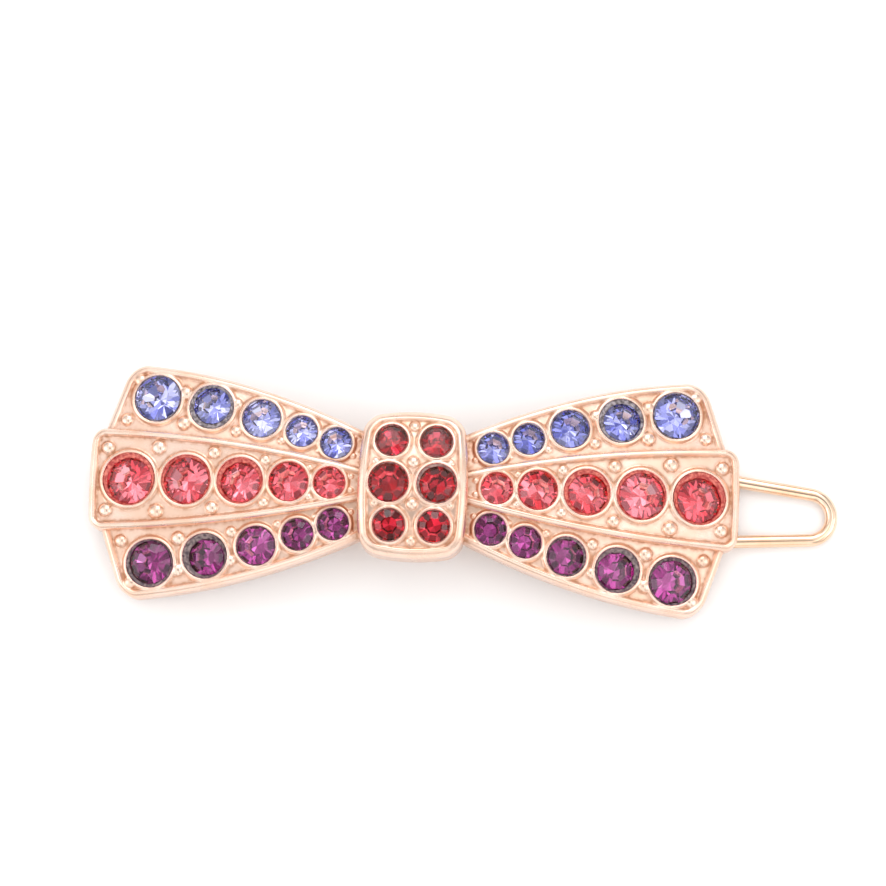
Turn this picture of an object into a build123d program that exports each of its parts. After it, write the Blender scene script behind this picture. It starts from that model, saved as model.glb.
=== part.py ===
"""A cast bow hair clip set with rhinestones, with a hinged spring-wire loop on its back.

Frame: millimetres. The origin is the middle of the flat pad on the clip's back, +X runs along the bow
towards the wire's rounded end, +Y across it and +Z out through the stones. Each wing bends away from the
stones along an arch whose crown is at the middle.
"""

import os
from math import cos, hypot, radians, sin, sqrt, tan

from build123d import *

os.makedirs("parts", exist_ok=True)

# The arch that both wings follow, seen from the side
ARCH_RADIUS = 135.0  # of the casting's back
PAD_HEIGHT = 0.15  # how far the flat pad stands out of the back
PAD_LENGTH = 8.0
PAD_WIDTH = 7.0
SIDE_LEAN = 5.5  # degrees that a side panel slopes down, away from the centre panel

# Heights above the casting's back, measured square to the arch
CENTRE_RIM = 3.15
CENTRE_FLOOR = 2.55
CENTRE_GIRDLE = 2.7
SIDE_BACK = -0.45
SIDE_RIM = 2.85
SIDE_FLOOR = 2.3
SIDE_GIRDLE = 2.5
COLLAR_RISE = 0.28  # of a seat's collar above the stone's girdle

# Outline of a wing, as x and half-height y
ROOT_X = 3.5  # where a wing starts, hidden under the knot
CENTRE_EDGE = [(ROOT_X, 1.17), (15.0, 3.45), (29.3, 4.65)]
SIDE_EDGE = [(ROOT_X, 4.3), (13.5, 8.3), (26.1, 10.75)]
SIDE_END = (28.1, 4.8)  # where the slanted end of a side panel meets the centre panel
SIDE_TUCK = 0.6  # how far a side panel runs in under the centre panel
CENTRE_CORNER = 1.2
SIDE_CORNER = 1.7
RIM_WIDTH = 0.75

# Stones, as (x, y, diameter) from the knot outwards
CORAL_ROW = [(7.5, 0, 2.8), (11.15, 0, 3.5), (15.55, 0, 4.1), (20.45, 0, 4.4), (25.7, 0, 4.7)]
SIDE_ROW = [
    (7.05, 3.65, 2.8),
    (10.2, 4.65, 2.8),
    (13.9, 5.75, 3.45),
    (18.5, 6.75, 3.95),
    (23.5, 7.5, 4.2),
]
KNOT_ROWS = [(2.0, 3.75, 2.85), (2.15, 0.0, 3.5), (2.0, -3.75, 2.85)]

# Shares of a stone's diameter
CROWN = 0.19
TABLE = 0.29
GIRDLE_EDGE = 0.03
PAVILION = 0.38
SEAT_GAP = 0.04  # glue line round a stone
COLLAR_WALL = 0.3

# Cast beads, as shares of the space between the row of stones and the edge beside it
CENTRE_BEAD_SHARE = 0.83
OUTER_BEAD_SHARE = 0.45
INNER_BEAD_SHARE = 0.64
BEAD_TO_STONE = 0.26  # a bead's diameter over that of the stones beside it
CENTRE_END_BEAD = (27.8, 2.85)
SIDE_END_BEADS = [(25.3, 9.2), (26.3, 5.5)]

# Knot
KNOT_WIDTH = 9.7
KNOT_TIP_WIDTH = 8.9
KNOT_LENGTH = 13.0
KNOT_CORNER = 1.9
KNOT_TOP = 4.9
KNOT_DOME = 20.0
KNOT_RIM = 0.95
KNOT_FLOOR_DEPTH = 0.5
KNOT_GIRDLE_DEPTH = 0.4
KNOT_SKIRT = -0.3
KNOT_EDGE_RADIUS = 0.7
KNOT_BEADS = [(0.0, 5.2, 1.0), (0.0, 1.9, 1.05), (3.3, 1.9, 0.7)]
SEAM = 0.05
WAIST_TOP = 2.3
WAIST_HALF = 4.9

# Spring wire and what it turns and snaps on
WIRE = 1.15
WIRE_CLEARANCE = 0.05  # radial, in the lug's bore
PIVOT_X = -24.5
PIVOT_Z = -3.35
PIVOT_LEG = 3.0  # half the distance between the legs at the pivot
BEND_X = 26.0  # where the legs start to draw together
BEND_LEG = 3.1
BEND_RADIUS = 30.0
TIP_X = 38.2  # centre line of the rounded end
TIP_LEG = 1.92
TIP_RADIUS = 2.05
TIP_SHIFT = -0.52  # the rounded end is bent a little to one side
LOOP_Y = -0.4  # middle of the lug, the legs and the catch
TIP_DROP = 0.5  # of the rounded end below the pivot
HEEL_RADIUS = 0.9
END_GAP = 0.4  # from the middle to the end of each inturned end
LUG_HALF = 2.0
LUG_WALL = 0.45
CATCH_X = 22.0
CATCH_LENGTH = 2.6
CATCH_STEM = 1.3
CATCH_SHOULDER = 0.45
CATCH_SNAP = 2.46  # half-width of the snap, just inside the legs
CATCH_SNAP_DROP = 0.3  # below the wire's centre line
CATCH_TIP = 0.9
CATCH_TIP_DROP = 0.65

REACH = 40.0  # larger than the clip, for cutting tools


def surface_plane(x, y, height, lean):
    """The plane that touches the arched surface at x and y, at a height above the back."""
    ring = sqrt((ARCH_RADIUS + height) ** 2 - x**2)
    z = PAD_HEIGHT + (ring - ARCH_RADIUS) / cos(radians(lean)) - abs(y) * tan(radians(lean))
    outwards = tan(radians(lean)) * (1 if y > 0 else -1)
    return Plane(origin=(x, y, z), x_dir=(1, 0, -x / ring), z_dir=(x / ring, outwards, 1))


def keep_between(low, high, lean=0.0):
    """Keeps what lies between two arched surfaces, given as heights above the back."""
    tilt = radians(lean)
    side_view = Plane((0, 0, PAD_HEIGHT), x_dir=(1, 0, 0), z_dir=(0, -cos(tilt), sin(tilt)))
    with BuildSketch(side_view) as band:
        with Locations((0, -ARCH_RADIUS)):
            Circle(ARCH_RADIUS + high)
            Circle(ARCH_RADIUS + low, mode=Mode.SUBTRACT)
        Rectangle(2 * REACH, REACH, mode=Mode.INTERSECT)
    extrude(band.sketch, amount=REACH, both=True, mode=Mode.INTERSECT)


def on_arc(points, x):
    """The y at x on the parabola through three points."""
    (x0, y0), (x1, y1), (x2, y2) = points
    first = (y1 - y0) / (x1 - x0)
    second = ((y2 - y1) / (x2 - x1) - first) / (x2 - x0)
    return y0 + first * (x - x0) + second * (x - x0) * (x - x1)


def gem_section(plane, diameter, gap=0.0, mouth=0.0):
    """Half a stone's section: table, crown, girdle and cone. A mouth makes it the cutter of its seat."""
    radius = diameter / 2 + gap
    edge = diameter * GIRDLE_EDGE
    if mouth:
        top = [(0, mouth), (radius, mouth)]
    else:
        top = [(0, diameter * CROWN), (diameter * TABLE, diameter * CROWN), (radius, edge)]
    with BuildSketch(Plane(plane.origin, x_dir=plane.x_dir, z_dir=-plane.y_dir)) as section:
        with BuildLine():
            Polyline(*top, (radius, -edge - gap), (0, -diameter * PAVILION - gap), close=True)
        make_face()
    return section.sketch


def place_collar(plane, diameter):
    """Adds the collar round a seat."""
    with Locations(plane.offset(COLLAR_RISE)):
        Cylinder(
            diameter / 2 + COLLAR_WALL,
            diameter * PAVILION,
            align=(Align.CENTER, Align.CENTER, Align.MAX),
        )


def cut_seat(plane, diameter):
    """Cuts the conical seat that a stone is glued into."""
    cutter = gem_section(plane, diameter, gap=SEAT_GAP, mouth=COLLAR_RISE + 1)
    revolve(cutter, axis=Axis(plane.origin, plane.z_dir), mode=Mode.SUBTRACT)


def make_stone(name, plane, diameter):
    """Writes one stone as a part of its own."""
    with BuildPart() as stone:
        revolve(gem_section(plane, diameter), axis=Axis(plane.origin, plane.z_dir))
    stone.part.label = name
    export_step(stone.part, f"parts/{name}.step")


def bead_places(row, share_in, edge_in, share_out, edge_out):
    """Centres and diameters of the beads on both sides of a row, between each two stones."""
    places = []
    for (x0, y0, d0), (x1, y1, d1) in zip(row, row[1:]):
        x, y = (x0 + x1) / 2, (y0 + y1) / 2
        size = BEAD_TO_STONE * (d0 + d1) / 2
        places.append((x, y + share_out * (edge_out(x) - y), size))
        places.append((x, y + share_in * (edge_in(x) - y), size))
    return places


def centre_pocket_edge(x):
    """Half-height of the centre panel's sunk floor."""
    return on_arc(CENTRE_EDGE, x) - RIM_WIDTH


def place_beads(places, height, lean):
    """Adds round cast beads, half sunk in the floor."""
    for x, y, size in places:
        with Locations(surface_plane(x, y, height, lean)):
            Sphere(size / 2)


# Outline of the right wing's centre panel, and of its sunk floor
with BuildSketch() as centre_shape:
    tip_x, tip_y = CENTRE_EDGE[-1]
    with BuildLine():
        upper = ThreePointArc(*CENTRE_EDGE)
        Line(upper @ 1, (tip_x, -tip_y))
        lower = ThreePointArc(*[(x, -y) for x, y in CENTRE_EDGE])
        Line(lower @ 0, upper @ 0)
    make_face()
    fillet(centre_shape.vertices().sort_by(Axis.X)[-2:], radius=CENTRE_CORNER)

with BuildSketch() as centre_floor_shape:
    add(centre_shape.sketch)
    offset(amount=-RIM_WIDTH, kind=Kind.INTERSECTION)

# Outline of the whole right wing, then of its upper side panel and that panel's sunk floor
with BuildSketch() as wing_shape:
    end_x, end_y = SIDE_END
    tip_x, tip_y = SIDE_EDGE[-1]
    with BuildLine():
        upper = ThreePointArc(*SIDE_EDGE)
        Polyline(upper @ 1, (end_x, end_y), (end_x, -end_y), (tip_x, -tip_y))
        lower = ThreePointArc(*[(x, -y) for x, y in SIDE_EDGE])
        Line(lower @ 0, upper @ 0)
    make_face()
    corners = wing_shape.vertices().sort_by(Axis.Y)
    fillet([corners[0], corners[-1]], radius=SIDE_CORNER)

with BuildSketch() as tucked_shape:
    add(centre_shape.sketch)
    offset(amount=-SIDE_TUCK, kind=Kind.INTERSECTION)

with BuildSketch() as side_shape:
    add(wing_shape.sketch)
    add(tucked_shape.sketch, mode=Mode.SUBTRACT)
    Rectangle(REACH, REACH, align=(Align.MIN, Align.MIN), mode=Mode.INTERSECT)

with BuildSketch() as side_floor_shape:
    add(wing_shape.sketch)
    offset(amount=-RIM_WIDTH, kind=Kind.INTERSECTION)
    Rectangle(REACH, REACH, align=(Align.MIN, Align.MIN), mode=Mode.INTERSECT)

# Centre panel of the right wing: a slab with a sunk floor
with BuildPart() as centre_pocket:
    extrude(centre_floor_shape.sketch, amount=REACH / 2, both=True)
    keep_between(CENTRE_FLOOR, REACH / 4)

with BuildPart() as centre_panel:
    extrude(centre_shape.sketch, amount=REACH / 2, both=True)
    keep_between(0.0, CENTRE_RIM)
    add(centre_pocket.part, mode=Mode.SUBTRACT)
    centre_places = [(surface_plane(x, y, CENTRE_GIRDLE, 0), d) for x, y, d in CORAL_ROW]
    centre_beads = bead_places(
        CORAL_ROW,
        CENTRE_BEAD_SHARE,
        lambda x: -centre_pocket_edge(x),
        CENTRE_BEAD_SHARE,
        centre_pocket_edge,
    )
    end_size = BEAD_TO_STONE * CORAL_ROW[-1][2]
    end_x, end_y = CENTRE_END_BEAD
    centre_beads += [(end_x, end_y, end_size), (end_x, -end_y, end_size)]
    for plane, diameter in centre_places:
        place_collar(plane, diameter)
    place_beads(centre_beads, CENTRE_FLOOR, 0.0)
    for plane, diameter in centre_places:
        cut_seat(plane, diameter)

# Upper side panel of the right wing, sloping down and outwards
with BuildPart() as side_pocket:
    extrude(side_floor_shape.sketch, amount=REACH / 2, both=True)
    keep_between(SIDE_FLOOR, REACH / 4, SIDE_LEAN)

with BuildPart() as side_panel:
    extrude(side_shape.sketch, amount=REACH / 2, both=True)
    keep_between(SIDE_BACK, SIDE_RIM, SIDE_LEAN)
    add(side_pocket.part, mode=Mode.SUBTRACT)
    side_places = [(surface_plane(x, y, SIDE_GIRDLE, SIDE_LEAN), d) for x, y, d in SIDE_ROW]
    side_beads = bead_places(
        SIDE_ROW,
        INNER_BEAD_SHARE,
        lambda x: on_arc(CENTRE_EDGE, x),
        OUTER_BEAD_SHARE,
        lambda x: on_arc(SIDE_EDGE, x) - RIM_WIDTH,
    )
    side_beads += [(x, y, BEAD_TO_STONE * SIDE_ROW[-1][2]) for x, y in SIDE_END_BEADS]
    for plane, diameter in side_places:
        place_collar(plane, diameter)
    place_beads(side_beads, SIDE_FLOOR, SIDE_LEAN)
    for plane, diameter in side_places:
        cut_seat(plane, diameter)

# Outline of the knot, of the seam round it and of its sunk floor: bulging sides, round corners
with BuildSketch() as knot_shape:
    half, tip, end = KNOT_WIDTH / 2, KNOT_TIP_WIDTH / 2, KNOT_LENGTH / 2
    with BuildLine():
        right = ThreePointArc((tip, -end), (half, 0), (tip, end))
        left = ThreePointArc((-tip, end), (-half, 0), (-tip, -end))
        Line(right @ 1, left @ 0)
        Line(left @ 1, right @ 0)
    make_face()
    fillet(knot_shape.vertices(), radius=KNOT_CORNER)

with BuildSketch() as seam_shape:
    add(knot_shape.sketch)
    offset(amount=SEAM)

with BuildSketch() as skirt_shape:
    add(seam_shape.sketch)
    Rectangle(KNOT_LENGTH, 2 * WAIST_HALF, mode=Mode.SUBTRACT)

with BuildSketch() as knot_floor_shape:
    add(knot_shape.sketch)
    offset(amount=-KNOT_RIM)


def keep_under_dome(sink, mode=Mode.INTERSECT):
    """Keeps (or cuts away) a round-topped bar along X, its top sunk below the knot's."""
    with BuildSketch(Plane.YZ) as dome:
        with Locations((0, KNOT_TOP - KNOT_DOME)):
            Circle(KNOT_DOME - sink)
    extrude(dome.sketch, amount=REACH, both=True, mode=mode)


def knot_plane(x, y, sink):
    """The plane that touches the knot's dome at x and y, sunk below its top."""
    height = sqrt((KNOT_DOME - sink) ** 2 - y**2)
    return Plane((x, y, KNOT_TOP - KNOT_DOME + height), x_dir=(1, 0, 0), z_dir=(0, y, height))


# The whole casting: both wings, the waist that joins them and the flat pad on the back
with BuildPart() as bow_casting:
    add(centre_panel.part)
    add(side_panel.part)
    mirror(side_panel.part, about=Plane.XZ)
    mirror(about=Plane.YZ)
    extrude(skirt_shape.sketch, amount=REACH, both=True, mode=Mode.SUBTRACT)
    with BuildSketch(Plane.XY.offset(WAIST_TOP)):
        add(seam_shape.sketch)
    extrude(amount=REACH, mode=Mode.SUBTRACT)
    with BuildSketch(Plane.XY.offset(PAD_HEIGHT)):
        Rectangle(2 * ROOT_X + 1, 2 * WAIST_HALF)
    extrude(amount=WAIST_TOP - PAD_HEIGHT)
    with BuildSketch(Plane.XY):
        Rectangle(PAD_LENGTH, PAD_WIDTH)
    extrude(amount=WAIST_TOP)
bow_casting.part.label = "bow_casting"
export_step(bow_casting.part, "parts/bow_casting.step")

# Knot: a domed saddle over the waist, with a sunk floor
with BuildPart() as knot_pocket:
    extrude(knot_floor_shape.sketch, amount=REACH)
    keep_under_dome(KNOT_FLOOR_DEPTH, mode=Mode.SUBTRACT)

with BuildPart() as knot_cap:
    with BuildSketch(Plane.XY.offset(KNOT_SKIRT)):
        add(knot_shape.sketch)
    extrude(amount=REACH)
    keep_under_dome(0.0)
    fillet(knot_cap.faces().sort_by(Axis.Z)[-1].edges(), radius=KNOT_EDGE_RADIUS)
    add(knot_pocket.part, mode=Mode.SUBTRACT)
    knot_places = [
        (knot_plane(side * x, y, KNOT_GIRDLE_DEPTH), d) for x, y, d in KNOT_ROWS for side in (-1, 1)
    ]
    for plane, diameter in knot_places:
        place_collar(plane, diameter)
    for x, y, size in KNOT_BEADS:
        for spot in {(x, y), (-x, y), (x, -y), (-x, -y)}:
            with Locations(knot_plane(*spot, KNOT_FLOOR_DEPTH)):
                Sphere(size / 2)
    for plane, diameter in knot_places:
        cut_seat(plane, diameter)
    with BuildSketch(Plane.XY.offset(KNOT_SKIRT)):
        Rectangle(REACH, 2 * WAIST_HALF)
    extrude(amount=WAIST_TOP - KNOT_SKIRT, mode=Mode.SUBTRACT)
knot_cap.part.label = "knot_cap"
export_step(knot_cap.part, "parts/knot_cap.step")

# Hinge lug under the left wing, bored for the wire's inturned ends
with BuildPart() as hinge_lug:
    bore = WIRE / 2 + WIRE_CLEARANCE
    with BuildSketch(Plane.XZ.offset(-LOOP_Y)):
        with Locations((PIVOT_X, PIVOT_Z)):
            Circle(bore + LUG_WALL)
            Rectangle(2 * (bore + LUG_WALL), REACH, align=(Align.CENTER, Align.MIN))
            Circle(bore, mode=Mode.SUBTRACT)
    extrude(amount=LUG_HALF, both=True)
    keep_between(-REACH / 4, 0.0)
hinge_lug.part.label = "hinge_lug"
export_step(hinge_lug.part, "parts/hinge_lug.step")

# Arrow-headed post under the right wing, between the wire's legs
wire_slope = TIP_DROP / (TIP_X - PIVOT_X)
with BuildPart() as catch_post:
    wire_z = PIVOT_Z - wire_slope * (CATCH_X - PIVOT_X)
    snap_z = wire_z - CATCH_SNAP_DROP
    half = [
        (0.0, 0.0),
        (CATCH_STEM, 0.0),
        (CATCH_STEM, snap_z + CATCH_SHOULDER),
        (CATCH_SNAP, snap_z),
        (CATCH_TIP, wire_z - CATCH_TIP_DROP),
        (0.0, wire_z - CATCH_TIP_DROP),
    ]
    with BuildSketch(Plane((CATCH_X, LOOP_Y, 0), x_dir=(0, 1, 0), z_dir=(1, 0, 0))):
        with BuildLine():
            Polyline(*half, close=True)
        make_face()
        mirror(about=Plane.YZ)
    extrude(amount=CATCH_LENGTH / 2, both=True)
    keep_between(-REACH / 4, 0.0)
catch_post.part.label = "catch_post"
export_step(catch_post.part, "parts/catch_post.step")

# Spring-wire loop: two legs, a rounded end and two inturned ends, all in one plane
loop_plane = Plane((PIVOT_X, LOOP_Y, PIVOT_Z), x_dir=(1, 0, -wire_slope), z_dir=(wire_slope, 0, 1))
stretch = hypot(1, wire_slope)
bend_along = (BEND_X - PIVOT_X) * stretch
tip_along = (TIP_X - PIVOT_X) * stretch
upper_leg = [(0, END_GAP), (0, PIVOT_LEG), (bend_along, BEND_LEG), (tip_along, TIP_SHIFT + TIP_LEG)]
lower_leg = [(tip_along, TIP_SHIFT - TIP_LEG), (bend_along, -BEND_LEG), (0, -PIVOT_LEG), (0, -END_GAP)]
bends = [HEEL_RADIUS, BEND_RADIUS, TIP_RADIUS]
with BuildPart() as wire_loop:
    with BuildLine(loop_plane) as route:
        FilletPolyline(*upper_leg, *lower_leg, radius=bends + bends[::-1])
    with BuildSketch(Plane(route.line @ 0, z_dir=route.line % 0)):
        Circle(WIRE / 2)
    sweep(path=route.line)
wire_loop.part.label = "wire_loop"
export_step(wire_loop.part, "parts/wire_loop.step")

# Stones, counted from the knot outwards
rows = [
    ("coral", CORAL_ROW, CENTRE_GIRDLE, 0.0, 1),
    ("blue", SIDE_ROW, SIDE_GIRDLE, SIDE_LEAN, 1),
    ("purple", SIDE_ROW, SIDE_GIRDLE, SIDE_LEAN, -1),
]
for wing, side in (("left", -1), ("right", 1)):
    for colour, row, girdle, lean, half in rows:
        for count, (x, y, diameter) in enumerate(row, start=1):
            plane = surface_plane(side * x, half * y, girdle, lean)
            make_stone(f"stone_{wing}_{colour}_{count}", plane, diameter)
for count, (plane, diameter) in enumerate(knot_places, start=1):
    make_stone(f"stone_knot_red_{count}", plane, diameter)
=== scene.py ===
"""Looks of a cast bow hair clip set with rhinestones: plated castings, foiled glass stones, spring-wire loop.

Lengths are millimetres in the classes and become metres where a mesh is made.
"""

import logging
import math
from collections.abc import Callable
from dataclasses import dataclass, field
from enum import Enum

import bpy
import numpy as np
from mathutils import Matrix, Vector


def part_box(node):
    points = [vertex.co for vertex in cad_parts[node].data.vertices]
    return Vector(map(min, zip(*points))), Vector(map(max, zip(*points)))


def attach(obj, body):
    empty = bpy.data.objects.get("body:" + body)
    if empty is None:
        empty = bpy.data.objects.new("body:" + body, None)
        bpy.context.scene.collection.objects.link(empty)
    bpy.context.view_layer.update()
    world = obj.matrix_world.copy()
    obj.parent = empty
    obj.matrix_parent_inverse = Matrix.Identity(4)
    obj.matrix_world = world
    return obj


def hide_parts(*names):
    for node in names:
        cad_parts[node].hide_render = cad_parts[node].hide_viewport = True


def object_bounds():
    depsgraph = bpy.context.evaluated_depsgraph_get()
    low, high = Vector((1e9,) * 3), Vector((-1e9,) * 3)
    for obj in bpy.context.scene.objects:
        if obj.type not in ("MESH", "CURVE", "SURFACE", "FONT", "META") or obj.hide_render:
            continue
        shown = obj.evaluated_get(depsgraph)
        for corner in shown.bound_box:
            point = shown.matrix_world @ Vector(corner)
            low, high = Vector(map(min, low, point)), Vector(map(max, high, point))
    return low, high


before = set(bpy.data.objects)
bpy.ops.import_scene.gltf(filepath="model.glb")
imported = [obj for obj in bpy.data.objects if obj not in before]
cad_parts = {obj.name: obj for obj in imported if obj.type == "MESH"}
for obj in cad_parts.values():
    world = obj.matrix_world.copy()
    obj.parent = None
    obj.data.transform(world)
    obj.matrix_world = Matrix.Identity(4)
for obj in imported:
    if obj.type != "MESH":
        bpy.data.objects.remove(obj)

CAD_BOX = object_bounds()
MM = 0.001
TIP_DEPTH = 0.38  # from a CAD stone's girdle to its tip, as a share of its diameter
TABLE_HEIGHT = 0.19  # from its girdle to its flat top
RGBA = {"data_type": "RGBA"}
Edge = Callable[[float], float]
log = logging.getLogger("hair_clip")


# ---------------------------------------------------------------- materials


def linear(hex_colour: str) -> tuple[float, float, float, float]:
    """Turns an sRGB hex colour into a linear one.

    Args:
        hex_colour: such as "#f2cdb5".

    Returns:
        Linear red, green, blue and an alpha of 1.
    """
    srgb = [int(hex_colour[i : i + 2], 16) / 255 for i in (1, 3, 5)]
    return (*[c / 12.92 if c <= 0.04045 else ((c + 0.055) / 1.055) ** 2.4 for c in srgb], 1.0)


def add_node(tree: bpy.types.NodeTree, kind: str, settings: dict | None = None, **inputs) -> bpy.types.Node:
    """Adds a shader node with its settings and inputs.

    Args:
        tree: the material's or world's node tree.
        kind: the node's type without "ShaderNode", such as "Bump".
        settings: the node's own properties.
        inputs: socket names, with _ for a space, or _ and a number, to values or to what to link from:
            a socket, or a node for its first output.

    Returns:
        The new node.
    """
    node = tree.nodes.new(f"ShaderNode{kind}")
    for name, value in (settings or {}).items():
        setattr(node, name, value)
    for name, value in inputs.items():
        socket = node.inputs[int(name[1:])] if name[1:].isdigit() else node.inputs[name.replace("_", " ")]
        value = value.outputs[0] if isinstance(value, bpy.types.Node) else value
        if isinstance(value, bpy.types.NodeSocket):
            tree.links.new(value, socket)
        else:
            socket.default_value = value
    return node


def new_material(name: str) -> tuple[bpy.types.Material, bpy.types.NodeTree]:
    """Makes an empty node material.

    Args:
        name: the material's name.

    Returns:
        The material and its node tree.
    """
    material = bpy.data.materials.new(name)
    material.use_nodes = True
    material.node_tree.nodes.clear()
    return material, material.node_tree


@dataclass(frozen=True)
class PlatedMetal:
    """Rose-gold electroplate over a polished casting or drawn wire.

    The plate mirrors a warm pale pink, mottled over a few millimetres by wear. The mop can't reach the
    hollows, and polish and lacquer gather there in patches, so the gloss drops; the colour deepens there as
    painted shade.
    """

    name: str
    colour: str = "#f5d7c6"
    warm: str = "#efc9b1"
    # colour that the hollows are darkened towards, as painted shade
    hollow_shade: str = "#be8d70"
    gloss: float = 0.23
    dull: float = 0.45
    smear: float = 0.08
    mottle_mm: float = 2.4
    ripple_mm: float = 0.45  # the sand-fine skin of the metal under the plate, drawn coarser so that it shows
    ripple_depth_mm: float = 0.009

    def make(self) -> bpy.types.Material:
        """Builds the material.

        Returns:
            The material.
        """
        material, tree = new_material(self.name)
        place = add_node(tree, "TexCoord").outputs["Object"]
        mottle = add_node(tree, "TexNoise", Vector=place, Scale=1 / (self.mottle_mm * MM), Detail=3.0)
        worn = add_node(tree, "MapRange", Value=mottle, From_Min=0.35, From_Max=0.7)
        tone = add_node(tree, "Mix", RGBA, _0=worn, _6=linear(self.colour), _7=linear(self.warm))
        ripple = add_node(tree, "TexNoise", Vector=place, Scale=1 / (self.ripple_mm * MM), Detail=3.0)
        patchy = add_node(
            tree, "MapRange", Value=ripple, From_Min=0.35, From_Max=0.65, To_Min=0.45, To_Max=1.5
        )
        # painted shade: the hollows' mask, broken into patches, darkens the colour and dulls the gloss
        hollow_shade_mask = add_node(tree, "Attribute", {"attribute_name": "hollow_shade"}).outputs["Fac"]
        product = {"operation": "MULTIPLY", "use_clamp": True}
        hollow_shade = add_node(tree, "Math", product, _0=hollow_shade_mask, _1=patchy)
        colour = add_node(tree, "Mix", RGBA, _0=hollow_shade, _6=tone.outputs[2], _7=linear(self.hollow_shade))
        rough = add_node(tree, "MapRange", Value=hollow_shade, To_Min=self.gloss, To_Max=self.dull)
        smeared = add_node(tree, "Math", {"operation": "MULTIPLY_ADD"}, _0=mottle, _1=self.smear, _2=rough)
        bump = add_node(tree, "Bump", Strength=1.0, Distance=self.ripple_depth_mm * MM, Height=ripple)
        skin = add_node(
            tree, "BsdfPrincipled", Base_Color=colour.outputs[2], Metallic=1.0, Roughness=smeared, Normal=bump
        )
        add_node(tree, "OutputMaterial", Surface=skin)
        return material


@dataclass(frozen=True)
class FoiledGlass:
    """Machine-cut tinted glass with a mirror foil fired on behind it, as in a rhinestone chaton.

    Light comes back off the foil through the clear crown; each foiled face is painted its own mix of the foil
    colour and the bright one, which is painted sparkle.
    """

    name: str
    glass: str
    foil: str
    # the foil colour that some faces are pushed towards, a painted sparkle
    bright: str
    ior: float = 1.56
    polish: float = 0.015
    foil_roughness: float = 0.04

    def make(self) -> tuple[bpy.types.Material, bpy.types.Material]:
        """Builds the two materials of a stone.

        Returns:
            The clear crown's material and the foiled back's.
        """
        crown, tree = new_material(f"cut_glass_{self.name}")
        glass = {"Base_Color": linear(self.glass), "Roughness": self.polish, "IOR": self.ior}
        skin = add_node(tree, "BsdfPrincipled", Transmission_Weight=1.0, **glass)
        add_node(tree, "OutputMaterial", Surface=skin)
        back, tree = new_material(f"mirror_foil_{self.name}")
        # painted sparkle: each foiled face is mixed from the foil colour towards the bright one by its own
        # random share
        facet_sparkle = add_node(tree, "Attribute", {"attribute_name": "facet_sparkle"}).outputs["Fac"]
        tone = add_node(tree, "Mix", RGBA, _0=facet_sparkle, _6=linear(self.foil), _7=linear(self.bright))
        skin = add_node(
            tree, "BsdfPrincipled", Base_Color=tone.outputs[2], Metallic=1.0, Roughness=self.foil_roughness
        )
        add_node(tree, "OutputMaterial", Surface=skin)
        return crown, back


@dataclass(frozen=True)
class Cement:
    """Jeweller's cement squeezed up round a stone: glossy, grainy and darkened with polish. Its dark colours
    also paint the shade in the seat round a sunk stone, and the warm one paints the coral stones' glow
    reflected in it.
    """

    name: str
    colour: str
    pale: str
    grain_mm: float = 0.3  # filings and dust in the cement, drawn coarser so that they show
    grain_depth_mm: float = 0.02
    gloss: float = 0.28

    def make(self) -> bpy.types.Material:
        """Builds the material.

        Returns:
            The material.
        """
        material, tree = new_material(f"cement_{self.name}")
        place = add_node(tree, "TexCoord").outputs["Object"]
        grain = add_node(tree, "TexNoise", Vector=place, Scale=1 / (self.grain_mm * MM), Detail=4.0)
        speck = add_node(tree, "MapRange", Value=grain, From_Min=0.38, From_Max=0.66)
        tone = add_node(tree, "Mix", RGBA, _0=speck, _6=linear(self.colour), _7=linear(self.pale))
        bump = add_node(tree, "Bump", Strength=0.6, Distance=self.grain_depth_mm * MM, Height=grain)
        skin = add_node(
            tree, "BsdfPrincipled", Base_Color=tone.outputs[2], Roughness=self.gloss, IOR=1.5, Normal=bump
        )
        add_node(tree, "OutputMaterial", Surface=skin)
        return material


class Hue(Enum):
    """The four stone colours."""

    CORAL = "coral"
    BLUE = "blue"
    PURPLE = "purple"
    RED = "red"


# each stone: name, glass tint, foil colour, and the bright foil colour that paints sparkle on some faces
GLASS = {
    Hue.CORAL: FoiledGlass("coral", "#ffecec", "#de6a77", "#ffc6cf"),
    Hue.BLUE: FoiledGlass("blue", "#f2f2ff", "#9094cf", "#f0f0ff"),
    Hue.PURPLE: FoiledGlass("purple", "#f8dff4", "#93457f", "#e39fd3"),
    Hue.RED: FoiledGlass("red", "#ffd0d8", "#9f132a", "#f67890"),
}
# cement colours: the dark ones also paint shade in the seats round sunk stones, and the warm one paints the
# coral stones' reflected glow
CEMENT = {
    Hue.CORAL: Cement("warm", "#b03432", "#f08a78"),
    Hue.BLUE: Cement("grey", "#5b4f50", "#bdb2b6"),
    Hue.PURPLE: Cement("plum_grey", "#45353d", "#a08b88"),
    Hue.RED: Cement("dark_red", "#7a5552", "#c4a69c"),
}


# ---------------------------------------------------------------- meshes


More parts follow.
